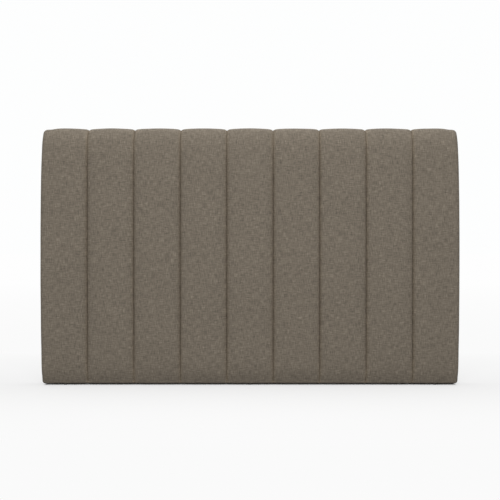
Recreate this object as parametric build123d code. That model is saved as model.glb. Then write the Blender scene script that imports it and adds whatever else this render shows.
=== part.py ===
from build123d import *
from collections import namedtuple
from math import asin, cos, degrees, radians, sin, sqrt
import os

# A wide upholstered headboard that stands on the floor: upright channels of padding on a timber frame.
# X runs along the width, the padded front looks towards -Y, Z is up.
# The origin is on the floor, under the middle of the width and of the depth. Millimetres.

# Overall size
width = 1800.0
depth = 100.0
height = 1115.0
channel_count = 9

# Layers over the timber
cover_thickness = 1.2
wadding_thickness = 4.0
wadding_pinched_thickness = 1.2
dust_cover_thickness = 0.8
soft_gap = 0.3

# Timber frame
timber_depth = 38.0
timber_width = 60.0
board_thickness = 9.0
plinth_depth = 60.0
plinth_height = 38.0
plinth_end_radius = 18.0
plinth_front_radius = 8.0
board_edge_radius = 8.0
eased_edge = 3.0
upright_offset = 500.0
frame_below_top = 36.0

# Joints and fixings of the frame
dowel_radius = 4.0
dowel_length = 50.0
dowel_spacing = 30.0
hole_clearance = 0.05
block_leg = 80.0
block_thickness = 25.0
block_inset = 8.0
screw_length = 30.0
screw_radius = 2.0
screw_head_radius = 4.0
screw_head_height = 2.5
screw_rows = 5
screw_end_distance = 30.0

# Threaded inserts for the struts of a bed
insert_radius = 6.0
insert_bore_radius = 3.4
insert_length = 15.0
insert_hole_depth = 25.0
insert_height = 260.0
insert_rise = 100.0
insert_window_radius = 9.0

# Floor glides
glide_height = 5.0
glide_radius = 11.0
glide_bevel = 1.5
glide_edge_distance = 12.5
glide_end_distance = 100.0
nail_radius = 1.0
nail_length = 18.0
nail_head_radius = 2.5
nail_head_height = 1.0
nail_recess = 1.5

# Staples
staple_crown = 10.0
staple_wire = 0.6
staple_leg = 10.0
staple_band = 0.9
cover_staple_distance = 30.0
dust_staple_distance = 8.0
side_staple_spacing = 75.0

# Shape of the padding
groove_depth = 24.0
shoulder_run = 40.0
shoulder_rise_share = 0.82
bulge_run_share = 0.36
bulge_rise_share = 0.60
pillow_recess = 32.0
lower_roll = 155.0
upper_roll = 100.0
side_round = 20.0
side_run = 22.0
top_side_round = 30.0
top_side_run = 42.0
low_side_round = 12.0
back_side_round = 3.0
under_side_round = 1.8
bottom_corner_radius = 13.0
top_back_radius = 32.0
back_return = 45.0
dust_cover_inset = 15.0
foam_slack = 1.0
drop_limit_share = 0.95
crown_lean_share = 0.25

# Rows of the padded front: share of the roll's or headboard's height, of the recess, of the groove
lower_row_shares = [
    (0.160, 0.78, 0.34),
    (0.316, 0.547, 0.54),
    (0.484, 0.406, 0.70),
    (0.742, 0.297, 0.86),
    (1.000, 0.235, 0.96),
]
middle_row_shares = [
    (0.27, 0.19, 1.0),
    (0.40, 0.06, 1.0),
    (0.53, 0.00, 1.0),
    (0.65, 0.04, 1.0),
    (0.78, 0.11, 1.0),
    (0.87, 0.18, 1.0),
]
upper_row_shares = [
    (1.00, 0.225, 0.82),
    (0.75, 0.447, 0.70),
    (0.44, 0.719, 0.61),
]
# Shares of the top roll's reach, of the groove and of the way from the front's side round to the top's
top_fan_shares = [
    (0.773, 0.60, 0.30),
    (0.807, 0.595, 0.55),
    (0.890, 0.59, 0.80),
    (0.991, 0.59, 1.00),
]
# Shares of the groove and of the top's side round, over the back of the top roll
back_fan_shares = [(0.50, 0.93), (0.31, 0.83), (0.14, 0.66), (0.02, 0.40)]
# Shares of the way from the front's stack to the bare cover, round the plinth's front edge
plinth_fan_shares = [(1.0, 0.80), (0.58, 0.40), (0.16, 0.20), (0.0, 0.15)]
# Shares of the top roll's run behind its crown, for the foam
foam_back_shares = [0.30, 0.55, 0.78]

# Places worked out from the sizes
half_width = width / 2
front_y = -depth / 2
back_y = depth / 2
channel_width = width / channel_count
thin_stack = cover_thickness + soft_gap
full_stack = thin_stack + wadding_thickness + soft_gap
seam_stack = thin_stack + wadding_pinched_thickness + soft_gap
return_y = back_y - dust_cover_thickness
timber_back = return_y - thin_stack
timber_front = timber_back - timber_depth
board_front = timber_front - board_thickness
plinth_front = timber_back - plinth_depth
frame_half = half_width - full_stack
frame_bottom = glide_height + thin_stack
plinth_top = frame_bottom + plinth_height
frame_top = height - frame_below_top
rail_bottom = frame_top - timber_width
timber_middle = (timber_front + timber_back) / 2
stile_middle = frame_half - timber_width / 2
corner_height = glide_height + bottom_corner_radius
return_top = frame_bottom + back_return
return_foot = frame_top - back_return

# A place on the padding's crown line, seen from the side: where it is, which way is outwards,
# how deep the seam's groove is, how far the side round drops, how long it runs, how far the side reaches
Station = namedtuple("Station", "y z angle groove drop run reach")


def side_reach(z):
    """Half the headboard's width at a height, drawn in by the rounded lower corners."""
    below = min(max(corner_height - z, 0), bottom_corner_radius)
    return half_width - bottom_corner_radius + sqrt(bottom_corner_radius**2 - below**2)


def station(y, z, angle, groove, drop, run=side_run):
    return Station(y, z, angle, groove, drop, min(run, channel_width / 2), side_reach(z))


def around(centre_y, centre_z, radius, angle, groove, drop, run=side_run):
    """A station at a radius from the centre of a rounded edge."""
    turn = radians(angle)
    return station(centre_y + radius * cos(turn), centre_z + radius * sin(turn), angle, groove, drop, run)


def front_stations():
    """The padded front from the lower edge to the start of the top roll."""
    rows = []
    for height_share, recess_share, groove_share in lower_row_shares:
        z = glide_height + lower_roll * height_share
        drop = low_side_round + (side_round - low_side_round) * max(2 * height_share - 1, 0)
        rows.append((z, recess_share, groove_share, drop))
    for height_share, recess_share, groove_share in middle_row_shares:
        rows.append((height * height_share, recess_share, groove_share, side_round))
    for height_share, recess_share, groove_share in upper_row_shares:
        rows.append((height - upper_roll * height_share, recess_share, groove_share, side_round))
    return [
        station(front_y + pillow_recess * recess, z, 180, groove_depth * groove, drop)
        for z, recess, groove, drop in rows
    ]


def front_at(z):
    """The padded front at a height between two of its rows."""
    rows = plinth_front_stations()[:1] + front_stations()
    low = [s for s in rows if s.z <= z][-1]
    high = [s for s in rows if s.z > z][0]
    way = (z - low.z) / (high.z - low.z)
    return station(
        low.y + (high.y - low.y) * way,
        z,
        180,
        low.groove + (high.groove - low.groove) * way,
        low.drop + (high.drop - low.drop) * way,
    )


def top_centre():
    """Centre of the round-over on the frame's upper front edge."""
    return board_front + board_edge_radius, height - upper_roll * upper_row_shares[-1][0]


def top_front_stations():
    y, z = top_centre()
    reach = height - z
    step = 90 / len(top_fan_shares)
    found = []
    for i, (reach_share, groove_share, way_share) in enumerate(top_fan_shares):
        drop = side_round + (top_side_round - side_round) * way_share
        run = side_run + (top_side_run - side_run) * way_share
        angle = 180 - step * (i + 1)
        found.append(around(y, z, reach * reach_share, angle, groove_depth * groove_share, drop, run))
    return found


def crown_station():
    groove = groove_depth * top_fan_shares[-1][1]
    return station(return_y - top_back_radius, height, 90, groove, top_side_round, top_side_run)


def top_back_stations():
    step = 90 / len(back_fan_shares)
    found = []
    for i, (groove_share, drop_share) in enumerate(back_fan_shares):
        drop = top_side_round * drop_share
        run = back_side_round + (top_side_run - back_side_round) * drop_share
        found.append(
            around(
                return_y - top_back_radius,
                height - top_back_radius,
                top_back_radius,
                90 - step * (i + 1),
                groove_depth * groove_share,
                drop,
                run,
            )
        )
    return found


def plinth_front_stations():
    """Round the plinth's lower front edge, from the front to the underside."""
    y = plinth_front + plinth_front_radius
    z = frame_bottom + plinth_front_radius
    step = 90 / len(plinth_fan_shares)
    found = [around(y, z, plinth_front_radius + full_stack, 180, 0, low_side_round)]
    for i, (stack_share, drop_share) in enumerate(plinth_fan_shares):
        stack = thin_stack + (full_stack - thin_stack) * stack_share
        drop = low_side_round * drop_share
        found.append(around(y, z, plinth_front_radius + stack, 180 + step * (i + 1), 0, drop))
    return found


def underside_stations():
    """Round the plinth's lower back edge, from the underside to the end of the cover's return."""
    y = timber_back - eased_edge
    z = frame_bottom + eased_edge
    radius = eased_edge + thin_stack
    angles = (270, 300, 330, 360)
    found = [around(y, z, radius, angle, 0, under_side_round, back_side_round) for angle in angles]
    for height_there in (corner_height, return_top):
        found.append(station(return_y, height_there, 360, 0, under_side_round, back_side_round))
    return found


def back_stations():
    """Down the frame's back, to the end of the cover's upper return."""
    return [
        station(return_y, frame_top - eased_edge, 0, 0, back_side_round, back_side_round),
        station(return_y, return_foot, 0, 0, back_side_round, back_side_round),
    ]


def cover_stations():
    lower = list(reversed(underside_stations())) + list(reversed(plinth_front_stations()))
    upper = front_stations() + top_front_stations() + [crown_station()]
    return lower + upper + top_back_stations() + back_stations()


def wadding_stations():
    lower = list(reversed(plinth_front_stations()[:2]))
    upper = front_stations() + top_front_stations() + [crown_station()]
    return lower + upper + top_back_stations()


def side_stations():
    """Where the side panel meets the end channel: from the lower corner over the top to the back."""
    rows = [s for s in front_stations() if s.z > corner_height]
    upper = rows + top_front_stations() + [crown_station()] + top_back_stations()
    return [front_at(corner_height)] + upper + back_stations()[:1]


def placed(x, n, s):
    """A point at x, and at n outwards from a station's crown."""
    turn = radians(s.angle)
    return Vector(x, s.y + n * cos(turn), s.z + n * sin(turn))


def span(start, middle, end, s):
    """An arc through three points of a section, or a line where they are in line."""
    a, m, b = (placed(x, n, s) for x, n in (start, middle, end))
    if (m - a).cross(b - a).length < (b - a).length * soft_gap / 100:
        return Edge.make_line(a, b)
    return Edge.make_three_point_arc(a, m, b)


def joined(corners, s):
    points = [placed(x, n, s) for x, n in corners]
    return [Edge.make_line(a, b) for a, b in zip(points, points[1:])]


def crown_run(s, crown, seam, half):
    """Shoulder, crown and shoulder of a middle channel, at depths under the crown line and the seam."""
    valley = -s.groove - seam
    top = -crown - s.groove * (1 - shoulder_rise_share)
    bulge = valley + (top - valley) * bulge_rise_share
    inner = half - shoulder_run
    outer = half - shoulder_run * bulge_run_share
    return [
        span((-half, valley), (-outer, bulge), (-inner, top), s),
        span((-inner, top), (0, -crown), (inner, top), s),
        span((inner, top), (outer, bulge), (half, valley), s),
    ]


def end_run(s, crown, seam, half, layers, drop):
    """Shoulder, crown and side round of the right-hand end channel; x counts from the channel's middle."""
    middle = half_width - channel_width / 2
    side = s.reach - middle - layers
    valley = -s.groove - seam
    top = -crown - s.groove * (1 - shoulder_rise_share)
    bulge = valley + (top - valley) * bulge_rise_share
    inner = half - shoulder_run
    outer = half - shoulder_run * bulge_run_share
    turn_x = s.reach - middle - s.run
    lean_in = (top + crown) * crown_lean_share
    lean = sqrt(0.5)
    over = (turn_x + (side - turn_x) * lean, -crown - (drop - crown) * (1 - lean))
    return [
        span((-half, valley), (-outer, bulge), (-inner, top), s),
        span((-inner, top), ((turn_x - inner) / 2, -crown + lean_in), (turn_x, -crown), s),
        span((turn_x, -crown), over, (side, -drop), s),
    ]


def strip_section(s, outer, inner):
    """Closes two runs into the section of a thin layer."""
    far = Edge.make_line(outer[-1] @ 1, inner[-1] @ 1)
    near = Edge.make_line(inner[0] @ 0, outer[0] @ 0)
    return Wire(outer + [far] + inner + [near])


def strip(stations, top, base, seam_top, seam_base, at_end):
    """A layer of even or pinched thickness that follows the padding's whole path."""
    half = channel_width / 2
    sections = []
    for s in stations:
        if at_end:
            outer = end_run(s, top, seam_top, half, top, s.drop)
            inner = end_run(s, base, seam_base, half, base, s.drop)
        else:
            outer = crown_run(s, top, seam_top, half)
            inner = crown_run(s, base, seam_base, half)
        sections.append(strip_section(s, outer, inner))
    return Solid.make_loft(sections, True)


def channel_cover(at_end):
    return strip(cover_stations(), 0, cover_thickness, 0, cover_thickness, at_end)


def channel_wadding(at_end):
    base = thin_stack + wadding_thickness
    seam_base = thin_stack + wadding_pinched_thickness
    return strip(wadding_stations(), thin_stack, base, thin_stack, seam_base, at_end)


def foam_section(s, floor, at_end):
    """Section of a foam pad from its crown down to a floor under the station's crown line."""
    half = channel_width / 2 - soft_gap / 2
    if at_end:
        side = frame_half - half_width + channel_width / 2
        drop = min(s.drop + soft_gap, full_stack + (floor - full_stack) * drop_limit_share)
        run = end_run(s, full_stack, seam_stack, half, half_width - frame_half, drop)
        rest = joined([(side, -drop), (side, -floor), (-half, -floor), (-half, -s.groove - seam_stack)], s)
    else:
        run = crown_run(s, full_stack, seam_stack, half)
        valley = -s.groove - seam_stack
        rest = joined([(half, valley), (half, -floor), (-half, -floor), (-half, valley)], s)
    return Wire(run + rest)


def back_fan_groove(turn):
    """The groove's depth at a turn, in degrees, behind the top roll's crown."""
    fan = [crown_station()] + top_back_stations()
    place = turn * len(back_fan_shares) / 90
    low = int(place)
    return fan[low].groove + (fan[low + 1].groove - fan[low].groove) * (place - low)


def foam_back_station(way_share):
    """An upright section of the foam behind the top roll's crown."""
    centre_z = height - top_back_radius
    radius = top_back_radius - full_stack - foam_slack
    step = radius * way_share
    crown_z = centre_z + sqrt(radius**2 - step**2)
    groove = back_fan_groove(degrees(asin(way_share)))
    seam_radius = top_back_radius - seam_stack - foam_slack - groove
    seam_z = centre_z + sqrt(seam_radius**2 - step**2)
    z = crown_z + full_stack
    drop = z - (height - top_side_round - soft_gap - foam_slack)
    return station(crown_station().y + step, z, 90, z - seam_z - seam_stack, drop, top_side_run)


def foam_stations():
    """Stations of a foam pad, each with its distance from the crown line down to the timber."""
    shelf = plinth_top + soft_gap
    rows = [front_at(shelf)] + [s for s in front_stations() if s.z > shelf + soft_gap]
    found = [(s, board_front - soft_gap - s.y) for s in rows]
    centre_y, centre_z = top_centre()
    for s in top_front_stations():
        reach = sqrt((s.y - centre_y) ** 2 + (s.z - centre_z) ** 2)
        found.append((s, reach - board_edge_radius - soft_gap))
    seat = frame_top + soft_gap
    for s in [crown_station()] + [foam_back_station(way_share) for way_share in foam_back_shares]:
        found.append((s, s.z - seat))
    return found


def channel_foam(at_end):
    return Solid.make_loft([foam_section(s, floor, at_end) for s, floor in foam_stations()], True)


def nine_channels(make):
    """One made for the middle channels and one for the ends, set out along the width."""
    middle = make(False)
    end = make(True)
    found = []
    for i in range(channel_count):
        x = -half_width + channel_width * (i + 0.5)
        if i == 0:
            found.append(end.translate(Vector(-x, 0, 0)).mirror(Plane.YZ))
        elif i == channel_count - 1:
            found.append(end.translate(Vector(x, 0, 0)))
        else:
            found.append(middle.translate(Vector(x, 0, 0)))
    return found


def block(x0, x1, y0, y1, z0, z1):
    """A box between its lowest and highest corners."""
    return Solid.make_box(x1 - x0, y1 - y0, z1 - z0, Plane((x0, y0, z0)))


def rod(radius, length, origin, direction):
    return Solid.make_cylinder(radius, length, Plane(origin, z_dir=direction))


def side_outline():
    """Outline of the padded side, in the YZ plane, along the end channel's edge."""
    points = []
    for s in side_stations():
        points.append(placed(0, -s.drop, s))
    back = points[-1].Y
    points.append(Vector(0, back, corner_height))
    return points


def side_slab(inner_x, outer_x):
    points = [Vector(inner_x, p.Y, p.Z) for p in side_outline()]
    return Solid.extrude(Face(Wire.make_polygon(points, close=True)), Vector(outer_x - inner_x, 0, 0))


def side_border():
    """Right-hand side panel of the cover, turned under the lower corner and onto the back."""
    inner_x = half_width - cover_thickness
    panel = side_slab(inner_x, half_width)
    corner_x = half_width - bottom_corner_radius
    start_y = plinth_front + plinth_front_radius + soft_gap
    end_y = timber_back - eased_edge
    turned = ring_quarter(corner_x, corner_height, bottom_corner_radius, start_y, end_y)
    edge_x = half_width - back_side_round
    edge_y = return_y - back_side_round
    bend = back_bend(edge_x, edge_y)
    flap = block(half_width - back_return, edge_x, return_y - cover_thickness, return_y, return_z0(), return_z1())
    return panel.fuse(turned).fuse(bend).fuse(flap).clean()


def return_z0():
    return return_top + soft_gap


def return_z1():
    return return_foot - soft_gap


def ring_quarter(x, z, radius, y0, y1):
    """A quarter turn of cover about an axis along Y, from the side to the underside."""
    ring = rod(radius, y1 - y0, (x, y0, z), (0, 1, 0)) - rod(radius - cover_thickness, y1 - y0, (x, y0, z), (0, 1, 0))
    return (ring & block(x, x + radius, y0, y1, z - radius, z)).solid()


def back_bend(x, y):
    """A quarter turn of cover about an upright axis, from the side to the back."""
    z0 = return_z0()
    length = return_z1() - z0
    ring = rod(back_side_round, length, (x, y, z0), (0, 0, 1))
    ring = ring - rod(back_side_round - cover_thickness, length, (x, y, z0), (0, 0, 1))
    return (ring & block(x, x + back_side_round, y, y + back_side_round, z0, z0 + length)).solid()


def side_wadding():
    outer_x = half_width - thin_stack
    return side_slab(outer_x - wadding_thickness, outer_x)


def dust_cover():
    x = half_width - dust_cover_inset
    z0 = glide_height + dust_cover_inset
    z1 = frame_top - dust_cover_inset
    sheet = block(-x, x, return_y, back_y, z0, z1)
    windows = [rod(insert_window_radius, depth, (ix, 0, iz), (0, 1, 0)) for ix, iz in insert_places()]
    return sheet.cut(*windows)


def staple(x, y, z, upright):
    """A staple driven in from the back: its crown is flush with the cloth's face at y."""
    crown = block(-staple_crown / 2, staple_crown / 2, -staple_wire, 0, -staple_band / 2, staple_band / 2)
    legs = [
        block(side, side + staple_wire, -staple_leg, 0, -staple_band / 2, staple_band / 2)
        for side in (-staple_crown / 2, staple_crown / 2 - staple_wire)
    ]
    made = crown.fuse(*legs).clean()
    if upright:
        made = made.rotate(Axis.Y, 90)
    return made.translate(Vector(x, y, z))


def channel_middles():
    return [-half_width + channel_width * (i + 0.5) for i in range(channel_count)]


def side_staple_heights(shift):
    low = return_z0() + staple_crown
    high = return_z1() - staple_crown
    count = int((high - low) / side_staple_spacing)
    pitch = (high - low) / count
    return [low + pitch * (i + shift) for i in range(count)]


def cover_staples():
    found = []
    rows = (frame_bottom + cover_staple_distance, frame_top - cover_staple_distance)
    for z in rows:
        for x in channel_middles():
            for way in (-1, 0, 1):
                found.append(staple(x + way * channel_width / 3, return_y, z, False))
    for x in (-half_width + cover_staple_distance, half_width - cover_staple_distance):
        for z in side_staple_heights(0):
            found.append(staple(x, return_y, z, True))
    return found


def dust_cover_staples():
    inset = dust_cover_inset + dust_staple_distance
    found = []
    for z in (glide_height + inset, frame_top - inset):
        for x in channel_middles():
            for way in (-1.5, -0.5, 0.5, 1.5):
                found.append(staple(x + way * channel_width / 4, back_y, z, False))
    for x in (-half_width + inset, half_width - inset):
        for z in side_staple_heights(0.5):
            found.append(staple(x, back_y, z, True))
    return found


def upright_places():
    return {
        "left_stile": -stile_middle,
        "left_upright": -upright_offset,
        "centre_upright": 0,
        "right_upright": upright_offset,
        "right_stile": stile_middle,
    }


def dowel_places():
    found = []
    for x in upright_places().values():
        for side in (-dowel_spacing / 2, dowel_spacing / 2):
            for z in (plinth_top, rail_bottom):
                found.append((x + side, timber_middle, z - dowel_length / 2))
    return found


def dowel_holes():
    return [
        rod(dowel_radius + hole_clearance, dowel_length, place, (0, 0, 1))
        for place in dowel_places()
    ]


def screw_places():
    low = plinth_top + screw_end_distance
    high = frame_top - screw_end_distance
    pitch = (high - low) / (screw_rows - 1)
    return [(x, low + pitch * i) for x in upright_places().values() for i in range(screw_rows)]


def screw(x, z, clearance):
    """A countersunk screw driven in from the board's front, its head flush."""
    place = Plane((x, board_front, z), z_dir=(0, 1, 0))
    head = Solid.make_cone(
        screw_head_radius + clearance, screw_radius + clearance, screw_head_height, place
    )
    return head.fuse(rod(screw_radius + clearance, screw_length, (x, board_front, z), (0, 1, 0))).clean()


def insert_places():
    heights = (insert_height, insert_height + insert_rise)
    return [(x, z) for x in (-upright_offset, upright_offset) for z in heights]


def insert_nuts():
    found = []
    for x, z in insert_places():
        start = (x, timber_back - insert_length, z)
        body = rod(insert_radius, insert_length, start, (0, 1, 0))
        found.append(body - rod(insert_bore_radius, insert_length, start, (0, 1, 0)))
    return found


def insert_holes():
    return [
        rod(insert_radius + hole_clearance, insert_hole_depth, (x, timber_back - insert_hole_depth, z), (0, 1, 0))
        for x, z in insert_places()
    ]


def glide_places():
    xs = (-half_width + glide_end_distance, 0, half_width - glide_end_distance)
    return [(x, y) for x in xs for y in (plinth_front + glide_edge_distance, timber_back - glide_edge_distance)]


def nail(x, y, clearance):
    head = rod(nail_head_radius + clearance, nail_head_height, (x, y, nail_recess), (0, 0, 1))
    shank = rod(nail_radius + clearance, nail_length, (x, y, nail_recess), (0, 0, 1))
    return head.fuse(shank).clean()


def nail_hole(x, y):
    mouth = rod(nail_head_radius + hole_clearance, nail_recess, (x, y, 0), (0, 0, 1))
    return nail(x, y, hole_clearance).fuse(mouth).clean()


def floor_glide(x, y):
    foot = Solid.make_cone(glide_radius - glide_bevel, glide_radius, glide_bevel, Plane((x, y, 0)))
    body = rod(glide_radius, glide_height - glide_bevel, (x, y, glide_bevel), (0, 0, 1))
    return foot.fuse(body).clean().cut(nail_hole(x, y))


def rounded(solid, radius, axis, chosen):
    """Fillets the edges along an axis that a test on their middle picks."""
    edges = [e for e in solid.edges().filter_by(axis) if chosen(e.center())]
    return solid.fillet(radius, edges)


def plinth_rail():
    made = block(-frame_half, frame_half, plinth_front, timber_back, frame_bottom, plinth_top)
    middle = (frame_bottom + plinth_top) / 2
    made = rounded(made, plinth_end_radius, Axis.Y, lambda c: c.Z < middle)
    made = rounded(made, eased_edge, Axis.X, lambda c: c.Z < middle and c.Y > 0)
    face = made.faces().sort_by(Axis.Y)[0]
    return made.fillet(plinth_front_radius, [e for e in face.edges() if e.center().Z < plinth_top - soft_gap])


def top_rail():
    made = block(-frame_half, frame_half, timber_front, timber_back, rail_bottom, frame_top)
    middle = (rail_bottom + frame_top) / 2
    return rounded(made, eased_edge, Axis.X, lambda c: c.Z > middle and c.Y > timber_middle)


def upright(x):
    half = timber_width / 2
    return block(x - half, x + half, timber_front, timber_back, plinth_top, rail_bottom)


def face_board():
    made = block(-frame_half, frame_half, board_front, timber_front, plinth_top, frame_top)
    middle = (board_front + timber_front) / 2
    return rounded(made, board_edge_radius, Axis.X, lambda c: c.Z > rail_bottom and c.Y < middle)


def corner_block(side, z, way):
    """A three-cornered glue block in an inner corner of the frame."""
    x = side * (frame_half - timber_width)
    points = [
        Vector(x, timber_front + block_inset, z),
        Vector(x - side * block_leg, timber_front + block_inset, z),
        Vector(x, timber_front + block_inset, z + way * block_leg),
    ]
    return Solid.extrude(Face(Wire.make_polygon(points, close=True)), Vector(0, block_thickness, 0))


def cut_near(solid, tools):
    """Cuts only the tools whose boxes reach the solid's box."""
    box = solid.bounding_box()
    near = []
    for tool in tools:
        other = tool.bounding_box()
        apart = [
            other.min.X > box.max.X or other.max.X < box.min.X,
            other.min.Y > box.max.Y or other.max.Y < box.min.Y,
            other.min.Z > box.max.Z or other.max.Z < box.min.Z,
        ]
        if not any(apart):
            near.append(tool)
    if not near:
        return solid
    cut = solid.cut(*near)
    return cut if isinstance(cut, Solid) else cut.solids().sort_by(SortBy.VOLUME)[-1]


def write(name, solids):
    shape = solids[0] if len(solids) == 1 else Compound(solids)
    export_step(shape, os.path.join("parts", name + ".step"))
    print(name, len(solids), round(sum(s.volume for s in solids)))


def dowel(place):
    pin = rod(dowel_radius, dowel_length, place, (0, 0, 1))
    return pin.chamfer(eased_edge / 3, None, pin.edges().filter_by(GeomType.CIRCLE))


def main():
    os.makedirs("parts", exist_ok=True)
    cover_pins = cover_staples()
    dust_pins = dust_cover_staples()
    nail_cuts = [nail_hole(x, y) for x, y in glide_places()]
    pins = cover_pins + dust_pins + nail_cuts
    holes = dowel_holes() + insert_holes() + [screw(x, z, hole_clearance) for x, z in screw_places()]

    timbers = {"plinth_rail": plinth_rail(), "top_rail": top_rail(), "face_board": face_board()}
    for name, x in upright_places().items():
        timbers[name] = upright(x)
    for name, timber in timbers.items():
        write(name, [cut_near(timber, pins + holes)])

    for side_name, side in (("left", -1), ("right", 1)):
        write(side_name + "_upper_corner_block", [corner_block(side, rail_bottom, -1)])
        write(side_name + "_lower_corner_block", [corner_block(side, plinth_top, 1)])

    for i, pad in enumerate(nine_channels(channel_foam)):
        write("channel_foam_" + str(i + 1), [pad])
    for i, layer in enumerate(nine_channels(channel_wadding)):
        write("channel_wadding_" + str(i + 1), [layer])
    for i, cloth in enumerate(nine_channels(channel_cover)):
        write("channel_cover_" + str(i + 1), [cut_near(cloth, pins)])

    border = side_border()
    padding = side_wadding()
    write("right_side_border", [cut_near(border, pins)])
    write("left_side_border", [cut_near(border.mirror(Plane.YZ), pins)])
    write("right_side_wadding", [padding])
    write("left_side_wadding", [padding.mirror(Plane.YZ)])
    write("dust_cover", [cut_near(dust_cover(), dust_pins)])

    write("frame_dowels", [dowel(place) for place in dowel_places()])
    write("face_board_screws", [screw(x, z, 0) for x, z in screw_places()])
    write("cover_staples", cover_pins)
    write("dust_cover_staples", dust_pins)
    write("insert_nuts", insert_nuts())
    write("floor_glides", [floor_glide(x, y) for x, y in glide_places()])
    write("glide_nails", [nail(x, y, 0) for x, y in glide_places()])


main()
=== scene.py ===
# %% [markdown]
# # A wide upholstered headboard with nine upright channels
# The CAD model gives the timber frame and the space of the padding. Here the padding gets its
# soft forms, its cloth and its light. Everything is in metres: X runs along the width, the padded
# front looks towards -Y, and Z is up from the floor.

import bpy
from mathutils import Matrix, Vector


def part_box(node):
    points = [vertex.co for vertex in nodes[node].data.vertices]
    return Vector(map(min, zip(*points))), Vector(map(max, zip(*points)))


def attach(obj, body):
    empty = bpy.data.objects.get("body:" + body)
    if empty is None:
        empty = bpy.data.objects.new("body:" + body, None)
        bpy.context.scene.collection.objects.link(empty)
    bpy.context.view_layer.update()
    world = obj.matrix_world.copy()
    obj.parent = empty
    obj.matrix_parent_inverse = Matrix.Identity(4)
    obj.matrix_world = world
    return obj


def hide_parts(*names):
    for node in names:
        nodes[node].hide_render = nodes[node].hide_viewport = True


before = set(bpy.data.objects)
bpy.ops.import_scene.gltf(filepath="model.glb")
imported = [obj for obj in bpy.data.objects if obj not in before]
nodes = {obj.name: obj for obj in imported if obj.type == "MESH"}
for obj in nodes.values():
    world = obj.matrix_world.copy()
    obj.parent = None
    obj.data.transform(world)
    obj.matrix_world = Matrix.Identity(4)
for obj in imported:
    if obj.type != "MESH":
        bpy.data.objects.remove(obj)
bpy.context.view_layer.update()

# %% Tools
from math import ceil, cos, exp, pi, radians, sin

import bpy
import numpy as np
from mathutils import Vector, noise

MM = 0.001
SMOOTH_ANGLE = radians(55)


def only(piece):
    """Deselects everything, then selects one piece and makes it active."""
    bpy.ops.object.select_all(action="DESELECT")
    piece.select_set(True)
    bpy.context.view_layer.objects.active = piece


def corners(piece):
    """The piece's vertices as an array of points."""
    flat = np.zeros(len(piece.data.vertices) * 3)
    piece.data.vertices.foreach_get("co", flat)
    return flat.reshape(-1, 3)


def put_corners(piece, points):
    """Moves the piece's vertices to new points."""
    piece.data.vertices.foreach_set("co", np.ascontiguousarray(points, dtype=float).ravel())
    piece.data.update()


print("nodes of the CAD model", len(nodes))

# %% [markdown]
# ## The line of the padding
# Seen from the side, each channel is one long strip of padding. It starts at the back under the
# lower edge, turns under the plinth, runs up the front, rolls over the top and ends on the back.
# It could be drawn as a block with bevelled edges, but a table of places along the strip keeps
# the same line for the nine channels and for the side panels. Each row has the crown's place, the
# place on the timber behind it, how deep the seam's groove is there, how far the outer side drops
# and over what run, and how much of the groove is a tight crease.

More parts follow.
